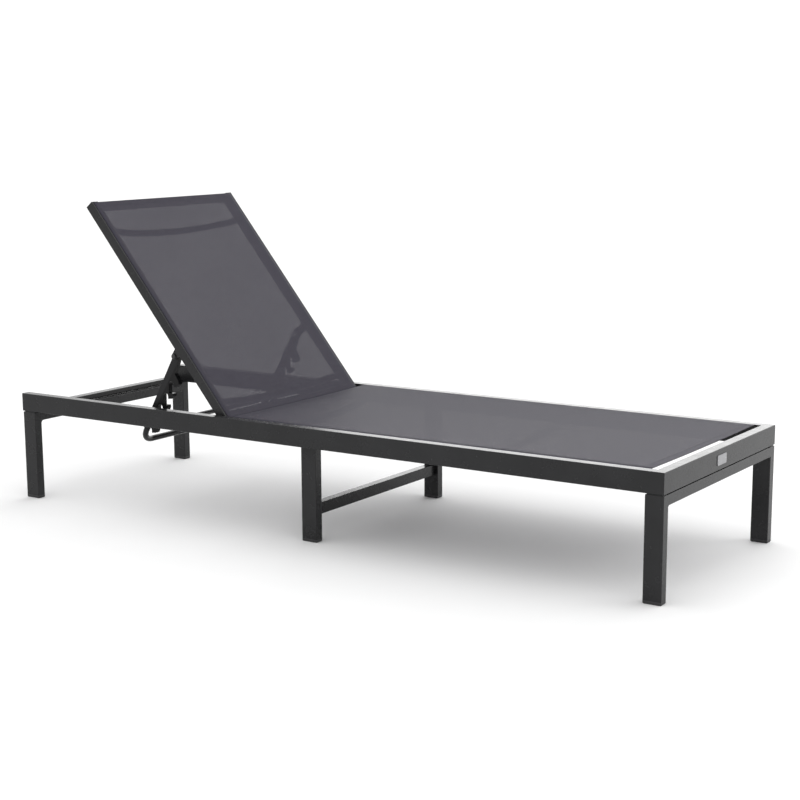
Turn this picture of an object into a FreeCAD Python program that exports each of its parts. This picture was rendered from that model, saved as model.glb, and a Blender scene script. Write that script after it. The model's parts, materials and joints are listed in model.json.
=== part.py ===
import FreeCAD, Part
import math
import os

from FreeCAD import Vector

# Reclining sun lounger: a powder-coated aluminium frame with two textile slings.
# Frame: origin on the ground at the middle of the footprint, +X towards the foot end,
# +Y towards the far side, +Z up. Millimetres. The backrest is modelled lying flat
# and then raised to its rest position.

# ---------------------------------------------------------------- driving dimensions
LENGTH = 1950.0
WIDTH = 656.0
RAIL_TOP = 298.0
RAIL_WIDTH = 28.0
RAIL_HEIGHT = 50.0
RAIL_WALL = 1.8
RAIL_EDGE = 2.0

LEG_LONG = 45.0
LEG_SHORT = 25.0
LEG_WALL = 1.5
LEG_EDGE = 1.5
SHADOW_GAP = 2.0
FOOT_CAP_HEIGHT = 8.0
FOOT_CAP_EDGE = 3.0
FOOT_CAP_PLUG = 20.0
LEG_FILLET = 10.0
MID_LEG_X = 1.5
MID_LEG_TOP = 288.0
MID_BAR_LOW = 67.0
MID_BAR_HIGH = 97.0

END_CAP = 2.0
PLATE_THICKNESS = 1.5
PLATE_LENGTH = 52.0
PLATE_HEIGHT = 24.0
PLATE_Y = -11.0
PLATE_Z = 272.0
HEAD_RAIL_HEIGHT = 14.0

SEAT_HEAD_X = -238.0
SEAT_FOOT_X = 930.0
SLING = 1.6
KEDER_R = 3.0
CHANNEL_R = 4.5
CHANNEL_WALL = 1.6
CHANNEL_INSET = 7.0
SLOT = 3.0

HINGE_X = -266.5
HINGE_Z = 276.5
RECLINE_DEG = 50.5
BACK_TUBE = 25.0
BACK_WALL = 1.5
BACK_HALF_WIDTH = 295.0
BACK_LENGTH = 714.5
TOP_TUBE_DEPTH = 18.0
BRACE_R = 9.0
BRACE_WALL = 1.5
BRACE_BOW = 30.0
LOWER_BRACE_U = 64.0
UPPER_BRACE_U = 623.0

PIVOT_U = 241.0
PIVOT_DROP = 43.2
ARM_LEAN_DEG = 32.0
ARM_Y = 262.0
ARM_THICKNESS = 14.0
ARM_LENGTH = 236.0
ARM_CROWN = 18.0
ARM_CROWN_HALF = 8.5
ARM_CROWN_EDGE = 4.0
HOOKS = 5
FIRST_HOOK = 66.6
HOOK_PITCH = 38.8
HOOK_REACH = 47.0
NOTCH_R = 8.5
BAIL_R = 8.0
BAIL_REACH = 280.0
BAIL_OFFSET = 12.0
BAIL_BEND = 42.0
SUPPORT_BAR_X = -483.0
SUPPORT_BAR_Z = 256.5
SUPPORT_BAR_R = 6.5

SPREADER_XS = (-215.0, 420.0)
SPREADER_Z = 268.0

# fasteners and fittings
HINGE_BOLT_R = 5.0
ARM_BOLT_R = 4.0
BRACKET = 5.0
BAR_SCREW_R = 2.5
MID_BOLT_R = 3.0
MID_BOLT_ZS = (259.0, 275.0)
KEY_SCREW_X = 884.0
KEY_SCREW_Z = 272.6
KEY_SCREW_R = 2.4
KEY_LENGTH = 110.0
KEY_SHORT = 70.0
CAP_PLUG = 14.0
BACK_CAP = 2.0
KEDER_START = 9.0
SLING_START = 2.0
INSERT_R = 4.5
LEG_BOLT_R = 3.0
PLATE_RIVET_R = 1.5
PLATE_RIVET_INSET = 5.0
RUNNING_CLEARANCE = 0.05
WASHER_CLEARANCE = 0.3
REST_CLEARANCE = 0.3

# ---------------------------------------------------------------- derived sizes
HALF_LENGTH = LENGTH / 2
HALF_WIDTH = WIDTH / 2
RAIL_INNER_Y = HALF_WIDTH - RAIL_WIDTH
RAIL_BOTTOM = RAIL_TOP - RAIL_HEIGHT
FOOT_FACE_X = HALF_LENGTH - PLATE_THICKNESS
HEAD_FACE_X = -HALF_LENGTH + END_CAP
LEG_FRAME_TOP = RAIL_BOTTOM - SHADOW_GAP
LEG_FRAME_BAR_LOW = LEG_FRAME_TOP - LEG_SHORT
CHANNEL_Y = RAIL_INNER_Y + CHANNEL_INSET
CHANNEL_Z = RAIL_TOP - CHANNEL_INSET
BACK_INNER_Y = BACK_HALF_WIDTH - BACK_TUBE
BACK_HALF_TUBE = BACK_TUBE / 2
BACK_CHANNEL_Y = BACK_HALF_WIDTH - 7.5
BACK_CHANNEL_W = 6.0
ARM_OUTER_Y = ARM_Y + ARM_THICKNESS / 2
ARM_INNER_Y = ARM_Y - ARM_THICKNESS / 2
LEG_BOLT_Y = HALF_WIDTH - LEG_SHORT / 2
LEG_FRAME_XS = (HEAD_FACE_X + LEG_LONG / 2, FOOT_FACE_X - LEG_LONG / 2)
PLATE_RIVET_YS = (PLATE_Y - PLATE_LENGTH / 2 + PLATE_RIVET_INSET, PLATE_Y + PLATE_LENGTH / 2 - PLATE_RIVET_INSET)
HINGE_NUT_Y = BACK_INNER_Y - WASHER_CLEARANCE - 1.0
BUSH_R = HINGE_BOLT_R + RUNNING_CLEARANCE + 1.5

X_AXIS = Vector(1, 0, 0)
Y_AXIS = Vector(0, 1, 0)
Z_AXIS = Vector(0, 0, 1)
ORIGIN = Vector(0, 0, 0)


# ---------------------------------------------------------------- shape helpers
def block(x0, x1, y0, y1, z0, z1):
    return Part.makeBox(x1 - x0, y1 - y0, z1 - z0, Vector(x0, y0, z0))


def rod(start, direction, length, radius):
    return Part.makeCylinder(radius, length, start, direction)


def round_edges(shape, radius, direction):
    """Rounds every straight edge that runs along the given direction."""
    edges = []
    for edge in shape.Edges:
        step = edge.Vertexes[-1].Point - edge.Vertexes[0].Point
        if step.Length > 0 and abs(step.normalize().dot(direction)) > 0.999:
            edges.append(edge)
    return shape.makeFillet(radius, edges)


def box_tube(x0, x1, y0, y1, z0, z1, wall, edge, direction):
    """A rectangular tube with rounded long edges, open at both ends along direction."""
    outer = round_edges(block(x0, x1, y0, y1, z0, z1), edge, direction)
    grow = Vector(wall, wall, wall) - direction * wall
    inner = block(x0 + grow.x, x1 - grow.x, y0 + grow.y, y1 - grow.y, z0 + grow.z, z1 - grow.z)
    return outer.cut(inner)


def mirrored(shape):
    return shape.mirror(ORIGIN, Y_AXIS)


def pair(shape):
    """The far-side shape and its mirror image on the near side, as separate solids."""
    return Part.makeCompound([shape, mirrored(shape)])


def single(shape):
    """The one solid left by a boolean operation."""
    return shape.Solids[0] if len(shape.Solids) == 1 else shape


def prism_xz(points, y0, y1):
    """Extrudes a closed XZ outline from y0 to y1."""
    wire = Part.makePolygon([Vector(x, y0, z) for x, z in points + points[:1]])
    return Part.Face(wire).extrude(Vector(0, y1 - y0, 0))


def prism_yz(points, x0, x1):
    """Extrudes a closed YZ outline from x0 to x1."""
    wire = Part.makePolygon([Vector(x0, y, z) for y, z in points + points[:1]])
    return Part.Face(wire).extrude(Vector(x1 - x0, 0, 0))


def hex_nut(centre, direction, across_flats, height, hole_r):
    """A hexagon nut whose first face is at centre, growing along direction (+Y or -Y)."""
    corner_r = across_flats / math.sqrt(3)
    corners = [Vector(centre.x + corner_r * math.cos(math.radians(60 * i)), centre.y,
                      centre.z + corner_r * math.sin(math.radians(60 * i))) for i in range(7)]
    nut = Part.Face(Part.makePolygon(corners)).extrude(direction * height)
    return nut.cut(rod(centre - direction, direction, height + 2, hole_r))


def dome_screw(face, direction, head_r, head_h, shank_r, shank_length):
    """A screw with a domed head on face; direction points out of the face."""
    head = rod(face, direction, head_h, head_r)
    rim = [edge for edge in head.Edges
           if edge.Curve.TypeId == "Part::GeomCircle" and (edge.CenterOfMass - face).Length > head_h / 2]
    head = head.makeFillet(head_h * 0.7, rim)
    return head.fuse(rod(face, direction * -1, shank_length, shank_r))


def washer(face, direction, outer_r, inner_r, thickness):
    return rod(face, direction, thickness, outer_r).cut(rod(face, direction, thickness, inner_r))


# ---------------------------------------------------------------- rails
def channel(y, z, slot_direction, length, x0, outer):
    """A keder channel along X: its wall when outer is true, else its bore and slot."""
    centre = Vector(x0, y, z)
    if outer:
        return rod(centre, X_AXIS, length, CHANNEL_R + CHANNEL_WALL)
    slot_length = 3 * CHANNEL_R
    slot = Part.makeBox(length, SLOT, slot_length, Vector(x0, y - SLOT / 2, z))
    turn = math.degrees(math.atan2(-slot_direction[0], slot_direction[1]))
    slot.rotate(centre, X_AXIS, turn)
    return rod(centre, X_AXIS, length, CHANNEL_R).fuse(slot)


def side_rail():
    """The far side rail: a box section with a keder channel, mitred at the foot."""
    length = FOOT_FACE_X - HEAD_FACE_X
    rail = box_tube(HEAD_FACE_X, FOOT_FACE_X, RAIL_INNER_Y, HALF_WIDTH, RAIL_BOTTOM, RAIL_TOP,
                    RAIL_WALL, RAIL_EDGE, X_AXIS)
    corner = (-1, 1)
    wall = channel(CHANNEL_Y, CHANNEL_Z, corner, length, HEAD_FACE_X, True)
    inside = block(HEAD_FACE_X, FOOT_FACE_X, RAIL_INNER_Y + RAIL_WALL / 2, HALF_WIDTH,
                   RAIL_BOTTOM, RAIL_TOP - RAIL_WALL / 2)
    rail = rail.fuse(wall.common(inside))
    rail = rail.cut(channel(CHANNEL_Y, CHANNEL_Z, corner, length, HEAD_FACE_X, False))
    rail = rail.cut(foot_mitre(True))
    for hole in rail_holes():
        rail = rail.cut(hole)
    return single(rail)


def foot_mitre(beyond):
    """The wedge on one side of the far foot corner's 45 degree mitre plane."""
    x1 = FOOT_FACE_X
    x0 = x1 - RAIL_WIDTH
    reach = 20.0
    far = [(x0 - reach, RAIL_INNER_Y - reach), (x1 + reach, HALF_WIDTH + reach)]
    side = (x1 + reach, RAIL_INNER_Y - reach) if beyond else (x0 - reach, HALF_WIDTH + reach)
    points = [Vector(x, y, RAIL_BOTTOM - reach) for x, y in far + [side] + far[:1]]
    return Part.Face(Part.makePolygon(points)).extrude(Vector(0, 0, RAIL_HEIGHT + 2 * reach))


def rail_holes():
    """Holes through the far rail for the hinge, support bar, mid legs, leg frames and key."""
    holes = [rod(Vector(HINGE_X, RAIL_INNER_Y - 1, HINGE_Z), Y_AXIS, 4, HINGE_BOLT_R),
             rod(Vector(SUPPORT_BAR_X, RAIL_INNER_Y - 1, SUPPORT_BAR_Z), Y_AXIS, 4, BAR_SCREW_R),
             rod(Vector(KEY_SCREW_X, RAIL_INNER_Y - 1, KEY_SCREW_Z), Y_AXIS, 4, KEY_SCREW_R)]
    for z in MID_BOLT_ZS:
        holes.append(rod(Vector(MID_LEG_X, RAIL_INNER_Y - 1, z), Y_AXIS, 4, MID_BOLT_R))
    for x in LEG_FRAME_XS:
        holes.append(rod(Vector(x, LEG_BOLT_Y, RAIL_BOTTOM - 1), Z_AXIS, 4, INSERT_R))
    for x in SPREADER_XS:
        holes.append(rod(Vector(x, RAIL_INNER_Y - 1, SPREADER_Z), Y_AXIS, 4, BAR_SCREW_R))
    return holes


def foot_rail():
    tube = box_tube(FOOT_FACE_X - RAIL_WIDTH, FOOT_FACE_X, -HALF_WIDTH, HALF_WIDTH, RAIL_BOTTOM, RAIL_TOP,
                    RAIL_WALL, RAIL_EDGE, Y_AXIS)
    wedge = foot_mitre(False)
    tube = tube.cut(wedge).cut(mirrored(wedge))
    for y in PLATE_RIVET_YS:
        tube = tube.cut(rod(Vector(FOOT_FACE_X - 3, y, PLATE_Z), X_AXIS, 4, PLATE_RIVET_R))
    return single(tube)


def head_rail():
    """The lowered cross rail at the head, under the flat backrest."""
    return box_tube(HEAD_FACE_X, HEAD_FACE_X + RAIL_WIDTH, -RAIL_INNER_Y, RAIL_INNER_Y, RAIL_BOTTOM,
                    RAIL_BOTTOM + HEAD_RAIL_HEIGHT, RAIL_WALL, RAIL_EDGE, Y_AXIS)


def rail_end_cap():
    """A moulded cap with a plug, in the head end of the far rail."""
    cap = block(-HALF_LENGTH, HEAD_FACE_X, RAIL_INNER_Y, HALF_WIDTH, RAIL_BOTTOM, RAIL_TOP)
    cap = round_edges(cap, RAIL_EDGE, X_AXIS)
    play = RAIL_WALL + 0.5
    plug = block(HEAD_FACE_X, HEAD_FACE_X + CAP_PLUG, RAIL_INNER_Y + play, HALF_WIDTH - play,
                 RAIL_BOTTOM + play, CHANNEL_Z - CHANNEL_R - 2 * CHANNEL_WALL)
    return cap.fuse(plug)


def corner_key():
    """The cast angle inside the far foot corner."""
    play = RAIL_WALL + 0.4
    z0 = RAIL_BOTTOM + play
    z1 = CHANNEL_Z - CHANNEL_R - 2 * CHANNEL_WALL
    along = block(FOOT_FACE_X - KEY_LENGTH, FOOT_FACE_X - play, RAIL_INNER_Y + play, HALF_WIDTH - play, z0, z1)
    across = block(FOOT_FACE_X - RAIL_WIDTH + play, FOOT_FACE_X - play, HALF_WIDTH - KEY_SHORT,
                   HALF_WIDTH - play, z0, z1)
    key = along.fuse(across).removeSplitter()
    key = key.cut(rod(Vector(LEG_FRAME_XS[1], LEG_BOLT_Y, RAIL_BOTTOM), Z_AXIS, 20, INSERT_R + 3))
    return key.cut(rod(Vector(KEY_SCREW_X, RAIL_INNER_Y, KEY_SCREW_Z), Y_AXIS, 14, KEY_SCREW_R))


def name_plate():
    """A plain rounded plate on the foot rail, with two rivet holes."""
    plate = block(FOOT_FACE_X, HALF_LENGTH, PLATE_Y - PLATE_LENGTH / 2, PLATE_Y + PLATE_LENGTH / 2,
                  PLATE_Z - PLATE_HEIGHT / 2, PLATE_Z + PLATE_HEIGHT / 2)
    plate = round_edges(plate, 3.0, X_AXIS)
    for y in PLATE_RIVET_YS:
        plate = plate.cut(rod(Vector(FOOT_FACE_X - 1, y, PLATE_Z), X_AXIS, 4, PLATE_RIVET_R))
    return plate


def plate_rivets():
    """Flush rivets that hold the name plate."""
    length = PLATE_THICKNESS + RAIL_WALL
    return Part.makeCompound([rod(Vector(FOOT_FACE_X - RAIL_WALL, y, PLATE_Z), X_AXIS, length,
                                  PLATE_RIVET_R) for y in PLATE_RIVET_YS])


# ---------------------------------------------------------------- leg frames
def leg_mitre(x, above):
    """The wedge above or below the mitre plane where the far leg meets its crossbar."""
    reach = 20.0
    low = (HALF_WIDTH - LEG_SHORT - reach, LEG_FRAME_BAR_LOW - reach)
    high = (HALF_WIDTH + reach, LEG_FRAME_TOP + reach)
    third = (low[0], high[1]) if above else (high[0], low[1])
    half = LEG_LONG / 2 + reach
    return prism_yz([low, high, third], x - half, x + half)


def end_leg(x):
    """A far-side leg of an end frame, mitred at the top."""
    leg = box_tube(x - LEG_LONG / 2, x + LEG_LONG / 2, HALF_WIDTH - LEG_SHORT, HALF_WIDTH, FOOT_CAP_HEIGHT,
                   LEG_FRAME_TOP, LEG_WALL, LEG_EDGE, Z_AXIS)
    return single(leg.cut(leg_mitre(x, True)))


def leg_frame_bar(x):
    """The crossbar of an end frame, mitred at both ends, with its two bolt holes."""
    bar = box_tube(x - LEG_LONG / 2, x + LEG_LONG / 2, -HALF_WIDTH, HALF_WIDTH, LEG_FRAME_BAR_LOW,
                   LEG_FRAME_TOP, LEG_WALL, LEG_EDGE, Y_AXIS)
    wedge = leg_mitre(x, False)
    bar = bar.cut(wedge).cut(mirrored(wedge))
    hole = rod(Vector(x, LEG_BOLT_Y, LEG_FRAME_TOP - 4), Z_AXIS, 6, LEG_BOLT_R)
    return single(bar.cut(hole).cut(mirrored(hole)))


def corner_fillet(x):
    """The rounded weld fillet in the inner corner of an end frame, far side."""
    y1 = HALF_WIDTH - LEG_SHORT
    z1 = LEG_FRAME_BAR_LOW
    half = LEG_LONG / 2 - LEG_EDGE
    solid = block(x - half, x + half, y1 - LEG_FILLET, y1, z1 - LEG_FILLET, z1)
    return solid.cut(rod(Vector(x - half, y1 - LEG_FILLET, z1 - LEG_FILLET), X_AXIS, 2 * half, LEG_FILLET))


def foot_cap(x, y):
    """A moulded foot with a rounded tread and a plug inside the leg tube."""
    tread = block(x - LEG_LONG / 2, x + LEG_LONG / 2, y - LEG_SHORT / 2, y + LEG_SHORT / 2, 0,
                  FOOT_CAP_HEIGHT)
    tread = round_edges(tread, LEG_EDGE, Z_AXIS)
    under = [edge for edge in tread.Edges if edge.BoundBox.ZMax < 0.01]
    tread = tread.makeFillet(FOOT_CAP_EDGE, under)
    play = LEG_WALL + 0.2
    plug = block(x - LEG_LONG / 2 + play, x + LEG_LONG / 2 - play, y - LEG_SHORT / 2 + play,
                 y + LEG_SHORT / 2 - play, FOOT_CAP_HEIGHT, FOOT_CAP_HEIGHT + FOOT_CAP_PLUG)
    return tread.fuse(plug)


def mid_leg():
    """A far-side middle leg, against the inner face of the rail."""
    leg = box_tube(MID_LEG_X - LEG_LONG / 2, MID_LEG_X + LEG_LONG / 2, RAIL_INNER_Y - LEG_SHORT,
                   RAIL_INNER_Y, FOOT_CAP_HEIGHT, MID_LEG_TOP, LEG_WALL, LEG_EDGE, Z_AXIS)
    for z in MID_BOLT_ZS:
        leg = leg.cut(rod(Vector(MID_LEG_X, RAIL_INNER_Y - LEG_SHORT - 1, z), Y_AXIS, LEG_SHORT + 2,
                          MID_BOLT_R))
    return single(leg)


def mid_leg_cap():
    """The flat plug in the open top of the far middle leg."""
    return block(MID_LEG_X - LEG_LONG / 2 + LEG_WALL + 0.1, MID_LEG_X + LEG_LONG / 2 - LEG_WALL - 0.1,
                 RAIL_INNER_Y - LEG_SHORT + LEG_WALL + 0.1, RAIL_INNER_Y - LEG_WALL - 0.1,
                 MID_LEG_TOP - 5, MID_LEG_TOP + 1)


def mid_crossbar():
    half = LEG_SHORT / 2
    y1 = RAIL_INNER_Y - LEG_SHORT
    return box_tube(MID_LEG_X - half, MID_LEG_X + half, -y1, y1, MID_BAR_LOW, MID_BAR_HIGH, LEG_WALL,
                    LEG_EDGE, Y_AXIS)


def mid_leg_bolts():
    """Bolts through the far middle leg into the rail."""
    bolts = []
    for z in MID_BOLT_ZS:
        face = Vector(MID_LEG_X, RAIL_INNER_Y - LEG_SHORT, z)
        bolts.append(dome_screw(face, Y_AXIS * -1, 5.5, 3.2, MID_BOLT_R, LEG_SHORT + 10))
    return bolts


def leg_spacer(x):
    """The plate that leaves the shadow line between the rail and the far leg frame."""
    half = LEG_LONG / 2 - 3
    plate = block(x - half, x + half, HALF_WIDTH - LEG_SHORT + 3, HALF_WIDTH - 3, LEG_FRAME_TOP, RAIL_BOTTOM)
    return plate.cut(rod(Vector(x, LEG_BOLT_Y, LEG_FRAME_TOP - 1), Z_AXIS, 4, INSERT_R))


def leg_bolt(x):
    """The bolt from inside the far crossbar up into the rail insert."""
    face = Vector(x, LEG_BOLT_Y, LEG_FRAME_TOP - LEG_WALL)
    return dome_screw(face, Z_AXIS * -1, 5.0, 3.0, LEG_BOLT_R, 20)


def rail_insert(x):
    """The threaded insert pressed in the bottom of the far rail."""
    outer = rod(Vector(x, LEG_BOLT_Y, RAIL_BOTTOM), Z_AXIS, 12, INSERT_R)
    flange = rod(Vector(x, LEG_BOLT_Y, RAIL_BOTTOM + RAIL_WALL), Z_AXIS, 2, INSERT_R + 2)
    return outer.fuse(flange).cut(rod(Vector(x, LEG_BOLT_Y, RAIL_BOTTOM - 1), Z_AXIS, 16, LEG_BOLT_R))


# ---------------------------------------------------------------- seat and spreaders
def seat_sling():
    """The seat textile: a taut sheet whose edges dip into the rail channels."""
    top = RAIL_TOP + 0.3
    low = top - SLING
    edge = RAIL_INNER_Y - 0.4
    root = (CHANNEL_Y - KEDER_R * 0.75, CHANNEL_Z + KEDER_R * 0.75)
    half = SLING / 2 / math.sqrt(2)
    outline = [(0, low), (edge, low), (root[0] - half, root[1] - half), (root[0] + half, root[1] + half),
               (edge + 1.6, top), (0, top)]
    sheet = prism_yz(outline, SEAT_HEAD_X, SEAT_FOOT_X)
    return sheet.fuse(mirrored(sheet)).removeSplitter()


def seat_keder():
    """The cord in the far rail's channel, inside the sling's hem."""
    return rod(Vector(SEAT_HEAD_X, CHANNEL_Y, CHANNEL_Z), X_AXIS, SEAT_FOOT_X - SEAT_HEAD_X, KEDER_R)


def arched_bar(x, z, reach, bow, radius, wall):
    """A tube along Y, ending at y = +-reach, whose middle is bowed down by bow."""
    bend = (reach * reach + bow * bow) / (2 * bow)
    centre = Vector(x, 0, z - bow + bend)
    keep = block(x - radius - 1, x + radius + 1, -reach, reach, z - bow - radius - 1, z + radius + 5)
    outer = Part.makeTorus(bend, radius, centre, X_AXIS).common(keep)
    inner = Part.makeTorus(bend, radius - wall, centre, X_AXIS).common(keep)
    return single(outer.cut(inner))


def screw_into_bar(x, z, shank_r):
    """A screw from inside the far rail's inner wall into the end of a bar."""
    face = Vector(x, RAIL_INNER_Y + RAIL_WALL, z)
    return dome_screw(face, Y_AXIS, 5.0, 2.5, shank_r, 16)


def support_bar():
    """The bar that the hooks drop over."""
    bar = rod(Vector(SUPPORT_BAR_X, -RAIL_INNER_Y, SUPPORT_BAR_Z), Y_AXIS, 2 * RAIL_INNER_Y, SUPPORT_BAR_R)
    hole = rod(Vector(SUPPORT_BAR_X, RAIL_INNER_Y - 16, SUPPORT_BAR_Z), Y_AXIS, 17, BAR_SCREW_R)
    return bar.cut(hole).cut(mirrored(hole))


def rest_pad(y):
    """A rubber pad on the head rail, under the flat backrest tube."""
    x0 = HEAD_FACE_X + 4
    z0 = RAIL_BOTTOM + HEAD_RAIL_HEIGHT
    z1 = HINGE_Z - BACK_HALF_TUBE - REST_CLEARANCE
    return block(x0, x0 + 20, y - 9, y + 9, z0, z1)


# ---------------------------------------------------------------- hinge
def hinge_bolt():
    """The far hinge bolt: head inside the rail, shank through spacer and bush."""
    head = rod(Vector(HINGE_X, RAIL_INNER_Y + RAIL_WALL, HINGE_Z), Y_AXIS, 4, 8.0)
    shank = rod(Vector(HINGE_X, HINGE_NUT_Y - 8, HINGE_Z), Y_AXIS, RAIL_INNER_Y + RAIL_WALL - HINGE_NUT_Y + 8,
                HINGE_BOLT_R)
    return head.fuse(shank)


def hinge_spacer():
    """The nylon washer between the far rail and the backrest tube."""
    y0 = BACK_HALF_WIDTH + WASHER_CLEARANCE
    return washer(Vector(HINGE_X, y0, HINGE_Z), Y_AXIS, 11.0, HINGE_BOLT_R, RAIL_INNER_Y - y0)


def hinge_nut():
    """The nut on the far hinge bolt, inside the backrest."""
    return hex_nut(Vector(HINGE_X, HINGE_NUT_Y, HINGE_Z), Y_AXIS * -1, 16.0, 6.5, HINGE_BOLT_R)


def hinge_washer():
    """The thin washer under the far hinge nut."""
    return washer(Vector(HINGE_X, HINGE_NUT_Y, HINGE_Z), Y_AXIS, 9.0, HINGE_BOLT_R, 1.0)


def hinge_bush():
    """The flanged bush in the far backrest tube, in the flat position."""
    length = BACK_TUBE
    bush = rod(Vector(0, BACK_INNER_Y, 0), Y_AXIS, length, BUSH_R)
    return bush.cut(rod(Vector(0, BACK_INNER_Y - 1, 0), Y_AXIS, length + 2, HINGE_BOLT_R + RUNNING_CLEARANCE))


# ---------------------------------------------------------------- backrest, modelled flat about the hinge axis
# In these functions -X is up the backrest, +Z is its front and the hinge axis is the origin.
def reclined(shape):
    """Raises a flat backrest shape to its rest angle about the hinge."""
    placed = shape.copy()
    placed.rotate(ORIGIN, Y_AXIS, RECLINE_DEG)
    placed.translate(Vector(HINGE_X, 0, HINGE_Z))
    return placed


def back_tube():
    """The far side tube with its keder channel, rounded at the hinge end."""
    tail = BACK_HALF_TUBE
    top = BACK_LENGTH - BACK_CAP
    length = top + tail
    tube = box_tube(-top, tail, BACK_INNER_Y, BACK_HALF_WIDTH, -BACK_HALF_TUBE, BACK_HALF_TUBE, BACK_WALL,
                    1.5, X_AXIS)
    slot_up = (0, 1)
    wall = channel(BACK_CHANNEL_Y, BACK_CHANNEL_W, slot_up, length, -top, True)
    inside = block(-top, tail, BACK_INNER_Y, BACK_HALF_WIDTH - BACK_WALL / 2, -BACK_HALF_TUBE,
                   BACK_HALF_TUBE - BACK_WALL / 2)
    tube = tube.fuse(wall.common(inside))
    tube = tube.cut(channel(BACK_CHANNEL_Y, BACK_CHANNEL_W, slot_up, top - KEDER_START, -top, False))
    corner = block(0, tail + 1, BACK_INNER_Y - 1, BACK_HALF_WIDTH + 1, -BACK_TUBE, BACK_TUBE)
    rounded = rod(Vector(0, BACK_INNER_Y - 1, 0), Y_AXIS, BACK_TUBE + 2, BACK_HALF_TUBE)
    tube = tube.cut(corner.cut(rounded))
    return single(tube.cut(rod(Vector(0, BACK_INNER_Y - 1, 0), Y_AXIS, BACK_TUBE + 2, BUSH_R)))


def back_top_cap():
    """The moulded cap on the far tube's upper end."""
    x1 = -(BACK_LENGTH - BACK_CAP)
    cap = block(x1 - BACK_CAP, x1, BACK_INNER_Y, BACK_HALF_WIDTH, -BACK_HALF_TUBE, BACK_HALF_TUBE)
    cap = round_edges(cap, 1.5, X_AXIS)
    plug = block(x1, x1 + 14, BACK_INNER_Y + BACK_WALL + 0.2, BACK_CHANNEL_Y - CHANNEL_R - 2 * CHANNEL_WALL,
                 -BACK_HALF_TUBE + BACK_WALL + 0.2, BACK_HALF_TUBE - BACK_WALL - 0.2)
    return cap.fuse(plug)


def top_tube():
    """The cross tube at the top of the backrest."""
    x0 = -(BACK_LENGTH - 1)
    return box_tube(x0, x0 + TOP_TUBE_DEPTH, -BACK_INNER_Y, BACK_INNER_Y, -BACK_HALF_TUBE + 2, BACK_HALF_TUBE,
                    BACK_WALL, 1.5, Y_AXIS)


def back_sling():
    """The backrest textile over the fronts of the tubes, with tails in their channels.
    Its lowest strip has no tails, because the channels end short of the hinge."""
    low = BACK_HALF_TUBE + 0.05
    high = low + SLING
    edge = BACK_CHANNEL_Y + SLING / 2
    root = BACK_CHANNEL_W + KEDER_R + 0.05
    outline = [(0, low), (edge - SLING, low), (edge - SLING, root), (edge, root), (edge, high), (0, high)]
    sheet = prism_yz(outline, -(BACK_LENGTH - 4), -KEDER_START)
    flap = block(-KEDER_START, -SLING_START, -edge, edge, low, high)
    return sheet.fuse(mirrored(sheet)).fuse(flap).removeSplitter()


def back_keder():
    """The cord in the far tube's channel."""
    start = Vector(-(BACK_LENGTH - 4), BACK_CHANNEL_Y, BACK_CHANNEL_W)
    return rod(start, X_AXIS, BACK_LENGTH - 4 - KEDER_START, KEDER_R)


def arm_bracket():
    """The ear behind the far tube that carries the support arm."""
    back = -BACK_HALF_TUBE
    nose_r = 9.0
    ear = prism_xz([(-PIVOT_U - 2 * nose_r, back), (-PIVOT_U + nose_r, back), (-PIVOT_U + nose_r, -PIVOT_DROP),
                    (-PIVOT_U - nose_r, -PIVOT_DROP)], BACK_INNER_Y, BACK_INNER_Y + BRACKET)
    ear = ear.fuse(rod(Vector(-PIVOT_U, BACK_INNER_Y, -PIVOT_DROP), Y_AXIS, BRACKET, nose_r))
    return ear.cut(rod(Vector(-PIVOT_U, BACK_INNER_Y - 1, -PIVOT_DROP), Y_AXIS, BRACKET + 2, ARM_BOLT_R))


def arm_bolt():
    """The far pivot bolt, head outside the bracket, reaching through the arm."""
    face = Vector(-PIVOT_U, BACK_INNER_Y + BRACKET, -PIVOT_DROP)
    return dome_screw(face, Y_AXIS, 7.5, 4.5, ARM_BOLT_R, BRACKET + 1 + ARM_THICKNESS + 9)


def arm_washers():
    """The washers on both sides of the far arm."""
    outer = Vector(-PIVOT_U, ARM_OUTER_Y + WASHER_CLEARANCE, -PIVOT_DROP)
    inner = Vector(-PIVOT_U, ARM_INNER_Y - 1.2, -PIVOT_DROP)
    return [washer(outer, Y_AXIS, 8.5, ARM_BOLT_R, BACK_INNER_Y - ARM_OUTER_Y - WASHER_CLEARANCE),
            washer(inner, Y_AXIS, 8.5, ARM_BOLT_R, 0.9)]


def arm_nut():
    """The locking nut on the far pivot bolt."""
    return hex_nut(Vector(-PIVOT_U, ARM_INNER_Y - 1.2, -PIVOT_DROP), Y_AXIS * -1, 13.0, 6.5, ARM_BOLT_R)


# ---------------------------------------------------------------- support arms
# In these functions -Z runs down the arm from its pivot and +X is the hooked side.
def leaned(shape):
    """Puts an arm shape on its pivot at its rest lean."""
    angle = math.radians(RECLINE_DEG)
    pivot_x = HINGE_X - PIVOT_U * math.cos(angle) - PIVOT_DROP * math.sin(angle)
    pivot_z = HINGE_Z + PIVOT_U * math.sin(angle) - PIVOT_DROP * math.cos(angle)
    placed = shape.copy()
    placed.rotate(ORIGIN, Y_AXIS, ARM_LEAN_DEG)
    placed.translate(Vector(pivot_x, 0, pivot_z))
    return placed


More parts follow.
